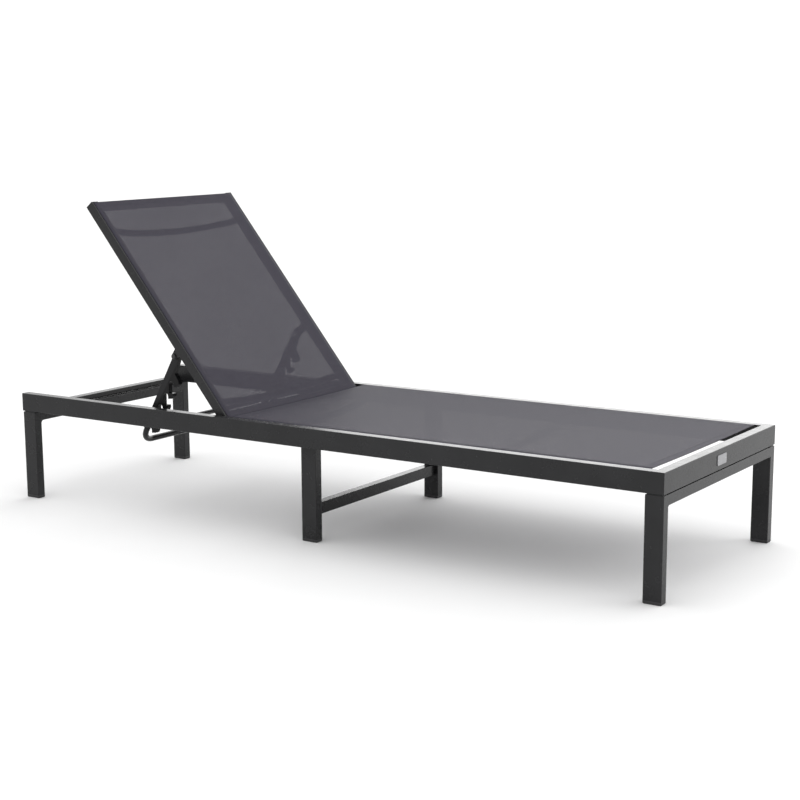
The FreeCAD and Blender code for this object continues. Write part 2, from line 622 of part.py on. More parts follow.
def support_arm():
    """The far arm: a bar with hooks down one side, whose notches open straight down at rest."""
    y0 = ARM_INNER_Y
    arm = prism_xz([(-ARM_CROWN_HALF, ARM_CROWN), (ARM_CROWN_HALF, ARM_CROWN), (22, -50), (24, -ARM_LENGTH),
                    (3, -ARM_LENGTH), (1, -174)], y0, y0 + ARM_THICKNESS)
    crown = [edge for edge in arm.Edges if edge.BoundBox.ZMin > ARM_CROWN - 0.1 and edge.BoundBox.XLength < 0.1]
    arm = arm.makeFillet(ARM_CROWN_EDGE, crown)
    for index in range(HOOKS):
        tip = FIRST_HOOK + HOOK_PITCH * index
        arm = arm.fuse(hook_blank(tip, y0))
    for index in range(HOOKS):
        arm = arm.cut(notch(FIRST_HOOK + HOOK_PITCH * index, y0))
    arm = arm.removeSplitter()
    return single(arm.cut(rod(Vector(0, y0 - 1, 0), Y_AXIS, ARM_THICKNESS + 2,
                              ARM_BOLT_R + RUNNING_CLEARANCE)))


def hook_blank(tip, y0):
    """The rounded nose that one notch is cut into."""
    nose_r = 3.5
    corners = [(16, -tip + 26), (HOOK_REACH - 6, -tip + 14), (HOOK_REACH, -tip + 7),
               (HOOK_REACH, -tip - 2), (HOOK_REACH - 14, -tip - 12), (16, -tip - 12)]
    nose = prism_xz(corners, y0, y0 + ARM_THICKNESS)
    sharp = [edge for edge in nose.Edges
             if abs(edge.BoundBox.XMax - HOOK_REACH) < 0.1 and edge.BoundBox.XLength < 0.1
             and edge.BoundBox.ZLength < 0.1]
    return nose.makeFillet(nose_r, sharp)


def notch(tip, y0):
    """A round-topped slot that opens downwards, seen with the arm at its rest lean."""
    centre = Vector(25, y0 - 1, -tip - 9)
    slot = block(25 - NOTCH_R, 25 + NOTCH_R, y0 - 1, y0 + ARM_THICKNESS + 1, -tip - 9 - 24, -tip - 9)
    slot.rotate(centre, Y_AXIS, -ARM_LEAN_DEG)
    return rod(centre, Y_AXIS, ARM_THICKNESS + 2, NOTCH_R).fuse(slot)


def bail_handle():
    """The round rod that joins both arms, bent at both lower corners."""
    y = ARM_Y
    low = -BAIL_REACH
    bend = BAIL_BEND
    mid = bend * (1 - math.sqrt(0.5))
    x = BAIL_OFFSET
    start = Vector(x, y, -ARM_LENGTH)
    arc_start = Vector(x, y, low + bend)
    arc_mid = Vector(x, y - mid, low + mid)
    arc_end = Vector(x, y - bend, low)
    far_side = [Part.LineSegment(start, arc_start).toShape(), Part.Arc(arc_start, arc_mid, arc_end).toShape()]
    flip = lambda point: Vector(point.x, -point.y, point.z)
    cross = Part.LineSegment(arc_end, flip(arc_end)).toShape()
    near_side = [Part.Arc(flip(arc_end), flip(arc_mid), flip(arc_start)).toShape(),
                 Part.LineSegment(flip(arc_start), flip(start)).toShape()]
    path = Part.Wire(far_side + [cross] + near_side)
    section = Part.Wire(Part.makeCircle(BAIL_R, start, Z_AXIS))
    return path.makePipeShell([section], True, True)


# ---------------------------------------------------------------- export
def all_pieces():
    """Every node of the lounger with its shape."""
    pieces = {}
    rail = side_rail()
    pieces["side_rail_far"] = rail
    pieces["side_rail_near"] = mirrored(rail)
    pieces["foot_rail"] = foot_rail()
    pieces["head_rail"] = head_rail()
    pieces["rail_end_caps"] = pair(rail_end_cap())
    pieces["corner_keys"] = pair(corner_key())
    pieces["corner_key_screws"] = pair(dome_screw(Vector(KEY_SCREW_X, RAIL_INNER_Y, KEY_SCREW_Z), Y_AXIS * -1,
                                                  4.5, 2.4, KEY_SCREW_R, 12))
    pieces["name_plate"] = name_plate()
    pieces["name_plate_rivets"] = plate_rivets()
    for end, x in zip(("head", "foot"), LEG_FRAME_XS):
        leg = end_leg(x)
        pieces[end + "_leg_far"] = leg
        pieces[end + "_leg_near"] = mirrored(leg)
        pieces[end + "_leg_crossbar"] = leg_frame_bar(x)
    both_ends = lambda make: Part.makeCompound([s for x in LEG_FRAME_XS for s in pair(make(x)).Solids])
    pieces["leg_corner_fillets"] = both_ends(corner_fillet)
    pieces["leg_spacers"] = both_ends(leg_spacer)
    pieces["leg_frame_bolts"] = both_ends(leg_bolt)
    pieces["rail_inserts"] = both_ends(rail_insert)
    pieces["end_foot_caps"] = both_ends(lambda x: foot_cap(x, HALF_WIDTH - LEG_SHORT / 2))
    pieces["mid_leg_far"] = mid_leg()
    pieces["mid_leg_near"] = mirrored(mid_leg())
    pieces["mid_leg_top_plugs"] = pair(mid_leg_cap())
    pieces["mid_foot_caps"] = pair(foot_cap(MID_LEG_X, RAIL_INNER_Y - LEG_SHORT / 2))
    pieces["mid_crossbar"] = mid_crossbar()
    bolts = mid_leg_bolts()
    pieces["mid_leg_bolts"] = Part.makeCompound(bolts + [mirrored(bolt) for bolt in bolts])
    pieces["seat_sling"] = seat_sling()
    pieces["seat_keder_cords"] = pair(seat_keder())
    for name, x in zip(("seat_spreader_head", "seat_spreader_foot"), SPREADER_XS):
        pieces[name] = arched_bar(x, SPREADER_Z, RAIL_INNER_Y, BRACE_BOW, BRACE_R, BRACE_WALL)
    screws = [screw_into_bar(x, SPREADER_Z, BAR_SCREW_R) for x in SPREADER_XS]
    screws.append(screw_into_bar(SUPPORT_BAR_X, SUPPORT_BAR_Z, BAR_SCREW_R))
    pieces["crossbar_screws"] = Part.makeCompound(screws + [mirrored(screw) for screw in screws])
    pieces["support_bar"] = support_bar()
    pieces["rest_pads"] = pair(rest_pad(BACK_HALF_WIDTH - BACK_HALF_TUBE))
    pieces["hinge_bolts"] = pair(hinge_bolt())
    pieces["hinge_spacers"] = pair(hinge_spacer())
    pieces["hinge_washers"] = pair(hinge_washer())
    pieces["hinge_nuts"] = pair(hinge_nut())

    tube = reclined(back_tube())
    pieces["backrest_tube_far"] = tube
    pieces["backrest_tube_near"] = mirrored(tube)
    pieces["backrest_top_tube"] = reclined(top_tube())
    for name, u in (("backrest_upper_brace", UPPER_BRACE_U), ("backrest_lower_brace", LOWER_BRACE_U)):
        brace = arched_bar(-u, 0, BACK_INNER_Y, BRACE_BOW, BRACE_R, BRACE_WALL)
        pieces[name] = reclined(brace)
    pieces["backrest_top_caps"] = reclined(pair(back_top_cap()))
    pieces["hinge_bushes"] = reclined(pair(hinge_bush()))
    pieces["backrest_sling"] = reclined(back_sling())
    pieces["backrest_keder_cords"] = reclined(pair(back_keder()))
    pieces["arm_brackets"] = reclined(pair(arm_bracket()))
    pieces["arm_pivot_bolts"] = reclined(pair(arm_bolt()))
    washers = arm_washers()
    pieces["arm_pivot_washers"] = reclined(Part.makeCompound(washers + [mirrored(w) for w in washers]))
    pieces["arm_pivot_nuts"] = reclined(pair(arm_nut()))

    arm = leaned(support_arm())
    pieces["support_arm_far"] = arm
    pieces["support_arm_near"] = mirrored(arm)
    pieces["bail_handle"] = leaned(bail_handle())
    return pieces


def main():
    os.makedirs("parts", exist_ok=True)
    for name, shape in all_pieces().items():
        shape.exportStep("parts/" + name + ".step")
        state = "valid" if shape.isValid() else "INVALID"
        print(name, len(shape.Solids), "solids", state, round(shape.Volume / 1000.0, 1), "cm3")


main()
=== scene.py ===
import bpy
import json
import math
from mathutils import Matrix, Vector


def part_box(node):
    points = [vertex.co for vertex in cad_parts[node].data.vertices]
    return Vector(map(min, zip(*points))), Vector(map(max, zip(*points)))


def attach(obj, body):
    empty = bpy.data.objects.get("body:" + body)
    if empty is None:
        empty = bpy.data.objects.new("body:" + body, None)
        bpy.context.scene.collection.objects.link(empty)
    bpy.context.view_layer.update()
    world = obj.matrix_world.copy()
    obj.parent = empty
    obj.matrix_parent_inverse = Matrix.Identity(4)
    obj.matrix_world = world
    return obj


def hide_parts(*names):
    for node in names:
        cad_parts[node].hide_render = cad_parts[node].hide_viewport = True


# Looks of the reclining sun lounger. Metres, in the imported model's frame:
# +X towards the foot end, +Y towards the far side, +Z up.

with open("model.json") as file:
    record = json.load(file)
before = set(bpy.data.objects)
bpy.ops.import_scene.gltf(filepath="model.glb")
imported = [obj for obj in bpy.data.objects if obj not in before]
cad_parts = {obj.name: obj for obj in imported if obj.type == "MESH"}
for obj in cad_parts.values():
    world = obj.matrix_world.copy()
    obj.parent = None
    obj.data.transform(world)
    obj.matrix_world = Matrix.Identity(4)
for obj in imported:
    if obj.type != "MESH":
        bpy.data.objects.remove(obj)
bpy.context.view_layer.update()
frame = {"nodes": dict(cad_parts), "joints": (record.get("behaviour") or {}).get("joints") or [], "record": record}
nodes = frame["nodes"]
joints = {joint["name"]: joint for joint in frame["joints"]}
recline_joint = joints["backrest_recline"]
arm_joint = joints["support_arm_swing"]

# ---------------------------------------------------------------- sizes
SEAT_SAG = 0.005
BACK_SAG = 0.005
HEM_WIDTH = 0.024
BACK_HEAD_HEM = 0.013
SIDE_HEM = 0.016
HEM_THICKNESS = 0.0011
HEM_GAP = 0.0002
HEM_JOIN = 0.001
GRID = 0.012
EDGE_INSET = 0.0010
SEAT_EDGE_INSET = 0.0012
# Where a sling's tails turn down: outward and downward from the edge of its face.
TAIL_START = (0.0006, -0.0005)
SEAT_TAIL_SLACK = (0.0005, 0.0016)
BACK_TAIL = (0.0009, 0.001)
FREE_EASE = 0.15  # length over which the sag grows past a tube
STITCH_LENGTH = 0.0032
STITCH_PITCH = 0.0046
STITCH_RADIUS = 0.00035
STITCH_INSET = 0.004
STITCH_END_ACROSS = 0.02
STITCH_END_ALONG = 0.003

# ---------------------------------------------------------------- camera
CAMERA_TARGET = Vector((-0.025, 0.0, 0.25))
CAMERA_AZIMUTH = 34.50
CAMERA_ELEVATION = 10.75
CAMERA_ROLL = -0.47
CAMERA_DISTANCE = 4.327
CAMERA_LENS = 73.37
CAMERA_SHIFT = (0.0411, 0.0311)


def make_camera():
    data = bpy.data.cameras.new("camera")
    data.lens = CAMERA_LENS
    data.shift_x, data.shift_y = CAMERA_SHIFT
    data.clip_start = 0.05
    data.clip_end = 100.0
    camera = bpy.data.objects.new("camera", data)
    azimuth = math.radians(CAMERA_AZIMUTH)
    elevation = math.radians(CAMERA_ELEVATION)
    back = Vector((math.sin(azimuth) * math.cos(elevation), -math.cos(azimuth) * math.cos(elevation),
                   math.sin(elevation)))
    turn = (-back).to_track_quat("-Z", "Y").to_matrix().to_4x4()
    roll = Matrix.Rotation(math.radians(CAMERA_ROLL), 4, "Z")
    camera.matrix_world = Matrix.Translation(CAMERA_TARGET + back * CAMERA_DISTANCE) @ turn @ roll
    bpy.context.scene.collection.objects.link(camera)
    bpy.context.scene.camera = camera


# ---------------------------------------------------------------- material helpers
class Graph:
    """A material's node tree, with short calls for the nodes that the materials share."""

    def __init__(self, name):
        self.material = bpy.data.materials.new(name)
        self.material.use_nodes = True
        self.tree = self.material.node_tree
        self.shader = next(n for n in self.tree.nodes if n.type == "BSDF_PRINCIPLED")
        self.coordinates = self.tree.nodes.new("ShaderNodeTexCoord").outputs["Object"]

    def link(self, value, socket):
        if isinstance(value, (int, float)):
            socket.default_value = value
        else:
            self.tree.links.new(value, socket)

    def math(self, operation, a, b=0.0):
        node = self.tree.nodes.new("ShaderNodeMath")
        node.operation = operation
        self.link(a, node.inputs[0])
        self.link(b, node.inputs[1])
        return node.outputs[0]

    def split(self, vector=None):
        node = self.tree.nodes.new("ShaderNodeSeparateXYZ")
        self.tree.links.new(vector or self.coordinates, node.inputs[0])
        return node.outputs

    def scaled(self, factors):
        node = self.tree.nodes.new("ShaderNodeVectorMath")
        node.operation = "MULTIPLY"
        self.tree.links.new(self.coordinates, node.inputs[0])
        node.inputs[1].default_value = factors
        return node.outputs[0]

    def noise(self, scale, detail=3.0, roughness=0.55, vector=None):
        node = self.tree.nodes.new("ShaderNodeTexNoise")
        self.tree.links.new(vector or self.coordinates, node.inputs["Vector"])
        node.inputs["Scale"].default_value = scale
        node.inputs["Detail"].default_value = detail
        node.inputs["Roughness"].default_value = roughness
        return node.outputs[0]

    def remap(self, value, low, high, to_low=0.0, to_high=1.0):
        node = self.tree.nodes.new("ShaderNodeMapRange")
        node.clamp = True
        for socket, number in zip(node.inputs[1:5], (low, high, to_low, to_high)):
            socket.default_value = number
        self.tree.links.new(value, node.inputs[0])
        return node.outputs[0]

    def blend(self, factor, first, second):
        """A colour that goes from first to second as factor goes from 0 to 1."""
        node = self.tree.nodes.new("ShaderNodeMix")
        node.data_type = "RGBA"
        self.link(factor, node.inputs[0])
        for value, socket in ((first, node.inputs[6]), (second, node.inputs[7])):
            if isinstance(value, tuple):
                socket.default_value = (*value, 1.0)
            else:
                self.tree.links.new(value, socket)
        return node.outputs[2]

    def bump(self, height, strength, distance):
        node = self.tree.nodes.new("ShaderNodeBump")
        node.inputs["Strength"].default_value = strength
        node.inputs["Distance"].default_value = distance
        self.tree.links.new(height, node.inputs["Height"])
        self.tree.links.new(node.outputs[0], self.shader.inputs["Normal"])

    def set(self, name, value):
        socket = self.shader.inputs[name]
        if isinstance(value, tuple):
            socket.default_value = (*value, 1.0)
        else:
            self.link(value, socket)


# ---------------------------------------------------------------- materials
POWDER_DARK = (0.0120, 0.0121, 0.0128)
POWDER_LIGHT = (0.0165, 0.0166, 0.0176)
COAT_SPECULAR = 0.25
HOOK_BLACK = (0.0035, 0.0035, 0.0038)
ARM_LEAN = math.radians(32.0)
HOOK_LINE = 0.014
MESH_YARN = (0.064, 0.0595, 0.078)
# Painted shade: the darker colour given to the grooves between the yarns, the low parts of the weave.
MESH_GROOVE_SHADE = (0.028, 0.0258, 0.035)
MESH_PITCH = 0.0022
BACK_OPENING = 0.295
SEAT_OPENING = 0.14
HOLE_EDGE = 0.03
YARN_HEIGHT = 0.8
YARN_WAVE = 0.35
HOOK_SPECULAR = 0.18
BARE_METAL = (0.34, 0.34, 0.35)
# Painted shade: the darker colour in the grooves between the thread's plies.
THREAD_PLY_SHADE = (0.018, 0.018, 0.022)
THREAD_LIGHT = (0.050, 0.049, 0.056)


def powder_coat():
    """Charcoal powder coat: fine orange peel, faint mottling and a satin gloss that varies."""
    g = Graph("powder_coat")
    cloud = g.noise(9.0, 4.0)
    peel = g.noise(900.0, 2.0, 0.5)
    grain = g.noise(2600.0, 1.0)
    g.set("Base Color", g.blend(g.remap(g.math("ADD", cloud, g.math("MULTIPLY", grain, 0.25)), 0.45, 0.8),
                                POWDER_DARK, POWDER_LIGHT))
    g.set("Roughness", g.remap(g.noise(35.0, 5.0), 0.25, 0.75, 0.22, 0.30))
    g.shader.inputs["Specular IOR Level"].default_value = COAT_SPECULAR
    g.bump(g.math("ADD", peel, g.math("MULTIPLY", grain, 0.3)), 0.03, 0.0004)
    return g.material


def hooked_arm():
    """The support arms: charcoal bars whose hooked side is near black.
    The hooked side starts a set distance in front of the line through the arm's pivot."""
    g = Graph("hooked_arm")
    pivot = Vector(arm_joint["pos_m"])
    x, _, z = g.split()
    reach = g.math("ADD", g.math("MULTIPLY", g.math("SUBTRACT", x, pivot.x), math.cos(ARM_LEAN)),
                   g.math("MULTIPLY", g.math("SUBTRACT", z, pivot.z), -math.sin(ARM_LEAN)))
    hooked = g.remap(g.math("ADD", reach, g.math("MULTIPLY", g.noise(160.0), 0.002)), HOOK_LINE - 0.0006,
                     HOOK_LINE + 0.0006)
    body = g.blend(g.remap(g.noise(9.0, 4.0), 0.4, 0.7), POWDER_DARK, POWDER_LIGHT)
    g.set("Base Color", g.blend(hooked, body, HOOK_BLACK))
    g.set("Roughness", g.remap(g.noise(35.0, 5.0), 0.25, 0.75, 0.26, 0.36))
    g.set("Specular IOR Level", HOOK_SPECULAR)
    g.bump(g.noise(900.0, 2.0, 0.5), 0.04, 0.0004)
    return g.material


def worn_bar():
    """The same coat on the support bar, rubbed to bare metal where the hooks land."""
    g = Graph("bar_metal")
    side = g.math("ABSOLUTE", g.split()[1])
    hook_y = (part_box("support_arm_far")[0].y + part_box("support_arm_far")[1].y) / 2
    near_hook = g.remap(g.math("ABSOLUTE", g.math("SUBTRACT", side, hook_y)), 0.006, 0.016, 1.0, 0.0)
    rub = g.math("MULTIPLY", near_hook, g.remap(g.noise(420.0, 4.0, 0.7), 0.42, 0.62))
    g.set("Base Color", g.blend(rub, POWDER_DARK, BARE_METAL))
    g.set("Metallic", rub)
    g.set("Roughness", g.remap(g.noise(60.0, 4.0), 0.3, 0.7, 0.30, 0.45))
    g.bump(g.math("SUBTRACT", g.noise(900.0, 2.0), g.math("MULTIPLY", rub, 0.6)), 0.2, 0.0003)
    return g.material


def weave(g, pitch, opening):
    """Yarn heights along and across, and the mask of the holes, of an open mesh of that pitch.
    The opening is the part of each yarn's half wave that the hole takes."""
    x, y, _ = g.split(g.scaled((math.pi / pitch, math.pi / pitch, 0.0)))
    warp = g.math("ABSOLUTE", g.math("COSINE", x))
    weft = g.math("ABSOLUTE", g.math("COSINE", y))
    over = g.math("MULTIPLY", g.math("SINE", x), g.math("SINE", y))
    warp_high = g.math("MULTIPLY", warp, g.math("ADD", YARN_HEIGHT, g.math("MULTIPLY", over, YARN_WAVE)))
    weft_high = g.math("MULTIPLY", weft, g.math("SUBTRACT", YARN_HEIGHT, g.math("MULTIPLY", over, YARN_WAVE)))
    height = g.math("MAXIMUM", warp_high, weft_high)
    solid = g.remap(g.math("MAXIMUM", warp, weft), opening - HOLE_EDGE, opening + HOLE_EDGE)
    return height, solid


def textile(name, opening=0.0):
    """PVC-coated mesh: round yarns woven over and under, with holes between them if opening, and painted shade in
    the grooves between the yarns.
    """
    g = Graph(name)
    height, solid = weave(g, MESH_PITCH, opening)
    streak = g.noise(1.0, 3.0, 0.6, g.scaled((14.0, 520.0, 1.0)))
    slub = g.noise(1.0, 3.0, 0.6, g.scaled((520.0, 14.0, 1.0)))
    # Painted shade: the colour darkens from the yarns' high tops to the low grooves between them; random streaks
    # and slubs are added on top.
    tone = g.math("ADD", g.remap(height, 0.35, 0.95, 0.0, 0.75),
                  g.math("MULTIPLY", g.math("SUBTRACT", g.math("ADD", streak, slub), 1.0), 0.55))
    g.set("Base Color", g.blend(tone, MESH_GROOVE_SHADE, MESH_YARN))
    g.set("Roughness", g.remap(g.noise(300.0, 2.0), 0.3, 0.7, 0.52, 0.66))
    g.shader.inputs["Specular IOR Level"].default_value = 0.07
    g.shader.inputs["Sheen Weight"].default_value = 0.01
    g.shader.inputs["Sheen Roughness"].default_value = 0.5
    if opening:
        g.set("Alpha", solid)
    g.bump(height, 0.5, 0.0005)
    return g.material


def thread():
    """Twisted polyester sewing thread, painted darker as shade in the grooves between its plies."""
    g = Graph("thread")
    x, y, z = g.split(g.scaled((5200.0, 5200.0, 5200.0)))
    ply = g.math("SINE", g.math("ADD", x, g.math("ADD", y, z)))
    # Painted shade: the colour darkens where the ply wave, which also drives the bump, is low.
    g.set("Base Color", g.blend(g.remap(ply, -1.0, 1.0), THREAD_PLY_SHADE, THREAD_LIGHT))
    g.set("Roughness", g.remap(g.noise(700.0), 0.3, 0.7, 0.5, 0.65))
    g.bump(ply, 0.3, 0.0001)
    return g.material


def moulded(name, dark, light, rough, scale):
    """Moulded plastic or rubber: spark-eroded grain and slight scuffing."""
    g = Graph(name)
    grain = g.noise(scale, 3.0, 0.6)
    scuff = g.noise(60.0, 6.0, 0.75)
    g.set("Base Color", g.blend(g.remap(scuff, 0.45, 0.75), dark, light))
    g.set("Roughness", g.remap(scuff, 0.3, 0.7, rough, rough + 0.14))
    g.bump(grain, 0.25, 0.0003)
    return g.material


def metal(name, dark, light, rough, brushed):
    """Bare or plated metal; brushed is the grain's stretch along each axis."""
    g = Graph(name)
    grain = g.noise(1.0, 4.0, 0.65, g.scaled(brushed))
    stain = g.noise(70.0, 4.0)
    tone = g.math("ADD", g.math("MULTIPLY", grain, 0.6), g.math("MULTIPLY", stain, 0.4))
    g.set("Base Color", g.blend(g.remap(tone, 0.3, 0.7), dark, light))
    g.shader.inputs["Metallic"].default_value = 1.0
    g.set("Roughness", g.remap(tone, 0.3, 0.7, rough, rough + 0.15))
    g.bump(grain, 0.2, 0.0002)
    return g.material


def make_materials():
    """One finish for each of the record's material slots."""
    return {
        "powder_coat": powder_coat(),
        "bar_metal": worn_bar(),
        "black_plastic": moulded("black_plastic", (0.010, 0.010, 0.011), (0.022, 0.022, 0.024), 0.42, 1500.0),
        "rubber": moulded("rubber", (0.012, 0.012, 0.012), (0.026, 0.026, 0.025), 0.62, 900.0),
        "nylon": moulded("nylon", (0.020, 0.020, 0.021), (0.034, 0.034, 0.036), 0.34, 1100.0),
        "keder": moulded("keder", (0.016, 0.016, 0.018), (0.030, 0.030, 0.034), 0.38, 800.0),
        "steel_fastener": metal("steel_fastener", (0.42, 0.42, 0.43), (0.60, 0.60, 0.61), 0.28,
                                (900.0, 900.0, 900.0)),
        "black_fastener": moulded("black_fastener", (0.014, 0.014, 0.015), (0.045, 0.045, 0.047), 0.30,
                                  1300.0),
        "cast_alloy": metal("cast_alloy", (0.40, 0.40, 0.41), (0.58, 0.58, 0.59), 0.45,
                            (500.0, 500.0, 500.0)),
        "plate_metal": metal("plate_metal", (0.24, 0.24, 0.25), (0.40, 0.40, 0.41), 0.30,
                             (900.0, 60.0, 5200.0)),
    }


def paint_frame(materials):
    """Gives every CAD node the finish of its record slot."""
    arm_finish = hooked_arm()
    for part in frame["record"]["subparts"]:
        finish = materials.get(part["material_slot"])
        if part["node"].startswith("support_arm_"):
            finish = arm_finish
        if finish is None:
            continue
        node = nodes[part["node"]]
        if not node.material_slots:
            node.data.materials.append(None)
        for slot in node.material_slots:
            slot.link = "OBJECT"
            slot.material = finish


# ---------------------------------------------------------------- mesh helpers
def add_piece(name, verts, faces, material, placing, body, smooth=True):
    """A mesh piece on a body, given in a local frame that placing puts in the row frame."""
    mesh = bpy.data.meshes.new(name)
    mesh.from_pydata(verts, [], faces)
    mesh.materials.append(material)
    for polygon in mesh.polygons:
        polygon.use_smooth = smooth
    mesh.update()
    piece = bpy.data.objects.new(name, mesh)
    bpy.context.scene.collection.objects.link(piece)
    piece.matrix_world = placing
    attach(piece, body)
    return piece


def grid_faces(rows, columns):
    """Quads of a grid whose vertices are stored row by row."""
    return [(r * columns + c, r * columns + c + 1, (r + 1) * columns + c + 1, (r + 1) * columns + c)
            for r in range(rows - 1) for c in range(columns - 1)]


def steps(low, high, size):
    """Evenly spaced numbers from low to high, about size apart."""
    count = max(2, round(abs(high - low) / size) + 1)
    return [low + (high - low) * i / (count - 1) for i in range(count)]


class Sling:
    """A stretched sheet in its own flat frame: x along it, y across, z out of its face."""

    def __init__(self, name, body, placing, x0, x1, half, tail):
        self.name = name
        self.body = body
        self.placing = placing
        self.x0, self.x1 = x0, x1
        self.half = half
        self.tail = tail
        self.sag = 0.0
        self.free_half = half
        self.free_from = x0 - FREE_EASE
        self.flap = 0.0
        self.head_hem = HEM_WIDTH

    def drop(self, x, y):
        """How far the face hangs, where no tube is under it."""
        across = max(0.0, 1.0 - (y / self.free_half) ** 2)
        along = (x - self.x0) / (self.x1 - self.x0)
        rise = min(1.0, max(0.0, (x - self.free_from) / FREE_EASE))
        return self.sag * across * rise * (2.0 - rise) * (0.35 + 0.65 * math.sin(math.pi * along))

    def surface(self, x, y, lift=0.0):
        return (x, y, lift - self.drop(x, y))

    def face_piece(self, material):
        """The mesh itself, with the tails that turn down into the side channels."""
        tail_y, tail_z = self.tail
        ys = [(-self.half - tail_y, tail_z), (-self.half - tail_y * 0.4, tail_z * 0.55),
              (-self.half - TAIL_START[0], TAIL_START[1])]
        across = steps(-self.half, self.half, GRID)
        profile = ys + [(y, None) for y in across] + [(-y, z) for y, z in reversed(ys)]
        along = steps(self.x0, self.x1, GRID)
        verts = [(x, y, z) if z is not None else self.surface(x, y) for x in along for y, z in profile]
        return add_piece(self.name, verts, grid_faces(len(along), len(profile)), material, self.placing,
                         self.body)

    def band(self, name, x0, x1, y0, y1, material):
        """A second layer of cloth under the face, closed all round."""
        along = steps(x0, x1, GRID)
        across = steps(y0, y1, GRID)
        top = -HEM_GAP
        low = top - HEM_THICKNESS
        rows, columns = len(along), len(across)
        verts = [self.surface(x, y, z) for z in (top, low) for x in along for y in across]
        faces = grid_faces(rows, columns)
        under = rows * columns
        faces += [tuple(i + under for i in reversed(face)) for face in grid_faces(rows, columns)]
        loop = [c for c in range(columns)] + [r * columns + columns - 1 for r in range(1, rows)]
        loop += [(rows - 1) * columns + c for c in range(columns - 2, -1, -1)]
        loop += [r * columns for r in range(rows - 2, 0, -1)]
        for here, there in zip(loop, loop[1:] + loop[:1]):
            faces.append((there, here, here + under, there + under))
        return add_piece(name, verts, faces, material, self.placing, self.body)

    def stitches(self, name, start, end, material):
        """A row of lock stitches on the face from start to end, as one mesh of short threads."""
        run = Vector(end) - Vector(start)
        count = int(run.length / STITCH_PITCH)
        direction = run.normalized()
        sideways = Vector((-direction.y, direction.x))
        verts, faces = [], []
        for i in range(count):
            centre = Vector(start) + direction * (i + 0.5) * run.length / count
            add_stitch(self, verts, faces, centre, direction, sideways)
        return add_piece(name, verts, faces, material, self.placing, self.body)


# Each section of a stitch: place along its length, girth and rise, both as parts of the thread's radius.
STITCH_SECTIONS = ((-0.5, 0.0, -0.9), (-0.36, 0.8, 0.15), (0.0, 1.0, 0.75), (0.36, 0.8, 0.15),
                   (0.5, 0.0, -0.9))
STITCH_LEAST_GIRTH = 0.25
STITCH_SIDES = 6


def add_stitch(sling, verts, faces, centre, direction, sideways):
    """One thread that rises out of the cloth, arches over and goes back in."""
    base = len(verts)
    for along, girth, rise in STITCH_SECTIONS:
        for side in range(STITCH_SIDES):
            turn = 2 * math.pi * side / STITCH_SIDES
            radius = STITCH_RADIUS * max(girth, STITCH_LEAST_GIRTH)
            point = centre + direction * along * STITCH_LENGTH + sideways * radius * math.cos(turn)
            lift = STITCH_RADIUS * rise + radius * math.sin(turn)
            verts.append(sling.surface(point.x, point.y, lift))
    for ring in range(len(STITCH_SECTIONS) - 1):
        for side in range(STITCH_SIDES):
            a = base + ring * STITCH_SIDES + side
            b = base + ring * STITCH_SIDES + (side + 1) % STITCH_SIDES
            faces.append((a, b, b + STITCH_SIDES, a + STITCH_SIDES))
    faces.append(tuple(base + side for side in reversed(range(STITCH_SIDES))))
    last = base + (len(STITCH_SECTIONS) - 1) * STITCH_SIDES
    faces.append(tuple(last + side for side in range(STITCH_SIDES)))


# ---------------------------------------------------------------- slings
def seat_frame():
    """The seat sling in the row frame: its face is at the top of its CAD solid."""
    low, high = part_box("seat_sling")
    rail_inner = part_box("mid_leg_far")[1].y
    placing = Matrix.Translation(Vector((0.0, 0.0, high.z)))
    tail = (high.y - rail_inner + SEAT_TAIL_SLACK[0], low.z - high.z + SEAT_TAIL_SLACK[1])
    sling = Sling("seat_mesh", "frame", placing, low.x, high.x, rail_inner - SEAT_EDGE_INSET, tail)
    sling.sag = SEAT_SAG
    return sling


def back_frame():
    """The backrest sling in the tilted frame of the backrest, x down it to the hinge.
    The backrest lies flat at its joint's lower limit, so that limit is its rest angle."""
    angle = -math.radians(recline_joint["range_deg"][0])
    hinge = Vector(recline_joint["pos_m"])
    down = Vector((math.cos(angle), 0.0, -math.sin(angle)))
    out = Vector((math.sin(angle), 0.0, math.cos(angle)))
    turn = Matrix((down, Vector((0.0, 1.0, 0.0)), out)).transposed().to_4x4()

    def extent(node):
        points = [turn.inverted() @ (v.co - hinge) for v in nodes[node].data.vertices]
        return [Vector([pick(p[i] for p in points) for i in range(3)]) for pick in (min, max)]

    low, high = extent("backrest_sling")
    cord_end = extent("backrest_keder_cords")[1].x
    tube = extent("backrest_tube_far")[0]
    top_tube = extent("backrest_top_tube")[1]
    placing = Matrix.Translation(hinge + out * high.z) @ turn
    tail = (BACK_TAIL[0], low.z - high.z + BACK_TAIL[1])
    sling = Sling("backrest_mesh", "backrest", placing, low.x, cord_end, high.y - EDGE_INSET, tail)
    sling.sag = BACK_SAG
    sling.free_half = tube.y
    sling.free_from = top_tube.x
    sling.flap = high.x - cord_end
    sling.head_hem = BACK_HEAD_HEM
    return sling


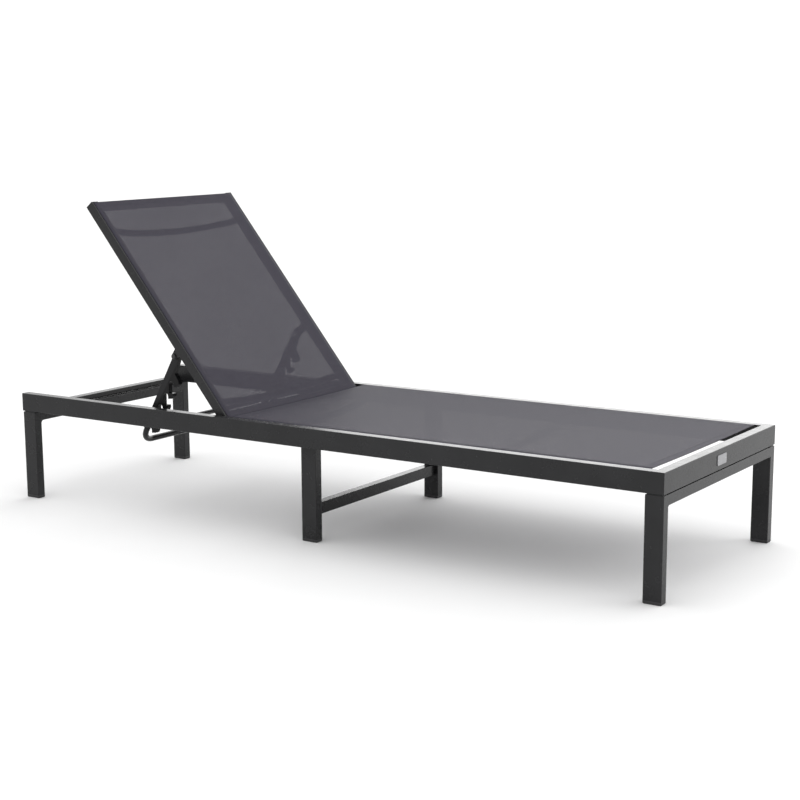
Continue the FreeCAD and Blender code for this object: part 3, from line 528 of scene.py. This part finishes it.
def dress(sling, cad_node, open_cloth, hem_cloth, sewing):
    """Builds a sling's face, hems and stitching in place of its CAD node, which it hides."""
    face = sling.face_piece(open_cloth)
    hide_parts(cad_node)
    for end, x0, x1 in (("head", sling.x0, sling.x0 + sling.head_hem),
                        ("foot", sling.x1 - HEM_WIDTH + sling.flap, sling.x1 + sling.flap)):
        sling.band(sling.name + "_hem_" + end, x0, x1, -sling.half, sling.half, hem_cloth)
        x = x0 + STITCH_INSET if end == "foot" else x1 - STITCH_INSET
        sling.stitches(sling.name + "_stitch_" + end, (x, -sling.half + STITCH_END_ACROSS),
                                   (x, sling.half - STITCH_END_ACROSS), sewing)
    for side, sign in (("near", -1), ("far", 1)):
        edges = sorted((sign * sling.half, sign * (sling.half - SIDE_HEM)))
        sling.band(sling.name + "_hem_" + side, sling.x0 + sling.head_hem + HEM_JOIN,
                               sling.x1 - HEM_WIDTH + sling.flap - HEM_JOIN, edges[0], edges[1], hem_cloth)
        y = sign * (sling.half - SIDE_HEM + STITCH_INSET)
        sling.stitches(sling.name + "_stitch_" + side, (sling.x0 + STITCH_END_ALONG, y),
                                   (sling.x1 - STITCH_END_ALONG, y), sewing)


# ---------------------------------------------------------------- stage
SURROUND = 1.15
GLOW = 1.9
GLOW_DIRECTION = Vector((-0.17, 0.97, 0.18)).normalized()
GLOW_EDGES = (0.78, 0.97)
FLOOR_REACH = 30.0
FLOOR_DARK = (0.86, 0.86, 0.86)
FLOOR_LIGHT = (0.90, 0.90, 0.90)
# Each soft box: name, place, aim, size and watts.
SOFT_BOXES = (
    ("key_foot", (3.6, 1.6, 1.6), (0.0, 0.0, 0.3), (2.4, 1.8), 22.0),
    ("overhead", (0.2, 0.4, 3.6), (0.0, 0.0, 0.0), (3.5, 2.0), 10.0),
)


def make_surround():
    """A white surround that is brighter around one nearly level direction, like a large window."""
    world = bpy.data.worlds.new("studio")
    bpy.context.scene.world = world
    world.use_nodes = True
    tree = world.node_tree
    facing = tree.nodes.new("ShaderNodeVectorMath")
    facing.operation = "DOT_PRODUCT"
    facing.inputs[1].default_value = GLOW_DIRECTION
    tree.links.new(tree.nodes.new("ShaderNodeTexCoord").outputs["Generated"], facing.inputs[0])
    fade = tree.nodes.new("ShaderNodeMapRange")
    fade.interpolation_type = "SMOOTHSTEP"
    for socket, number in zip(fade.inputs[1:5], (*GLOW_EDGES, SURROUND, SURROUND + GLOW)):
        socket.default_value = number
    tree.links.new(facing.outputs["Value"], fade.inputs[0])
    tree.links.new(fade.outputs[0], tree.nodes["Background"].inputs["Strength"])
    tree.nodes["Background"].inputs["Color"].default_value = (1.0, 1.0, 1.0, 1.0)


def make_stage():
    """A pale floor, a white surround and soft boxes."""
    floor = bpy.data.meshes.new("floor")
    corners = [(-FLOOR_REACH, -FLOOR_REACH, 0), (FLOOR_REACH, -FLOOR_REACH, 0), (FLOOR_REACH, FLOOR_REACH, 0),
               (-FLOOR_REACH, FLOOR_REACH, 0)]
    floor.from_pydata(corners, [], [(0, 1, 2, 3)])
    g = Graph("floor")
    g.set("Base Color", g.blend(g.noise(3.0), FLOOR_DARK, FLOOR_LIGHT))
    g.shader.inputs["Roughness"].default_value = 0.9
    g.shader.inputs["Specular IOR Level"].default_value = 0.0
    floor.materials.append(g.material)
    ground = bpy.data.objects.new("floor", floor)
    bpy.context.scene.collection.objects.link(ground)

    make_surround()
    for name, place, aim, size, watts in SOFT_BOXES:
        data = bpy.data.lights.new(name, "AREA")
        data.shape = "RECTANGLE"
        data.size, data.size_y = size
        data.energy = watts
        lamp = bpy.data.objects.new(name, data)
        turn = (Vector(aim) - Vector(place)).to_track_quat("-Z", "Y").to_matrix().to_4x4()
        lamp.matrix_world = Matrix.Translation(Vector(place)) @ turn
        lamp.visible_camera = False
        bpy.context.scene.collection.objects.link(lamp)


# ---------------------------------------------------------------- build
def main():
    make_camera()
    materials = make_materials()
    paint_frame(materials)
    hem_cloth = textile("hem_cloth")
    sewing = thread()
    dress(seat_frame(), "seat_sling", textile("seat_cloth", SEAT_OPENING), hem_cloth, sewing)
    dress(back_frame(), "backrest_sling", textile("back_cloth", BACK_OPENING), hem_cloth, sewing)
    make_stage()
    bpy.context.scene.view_settings.view_transform = "Standard"


main()
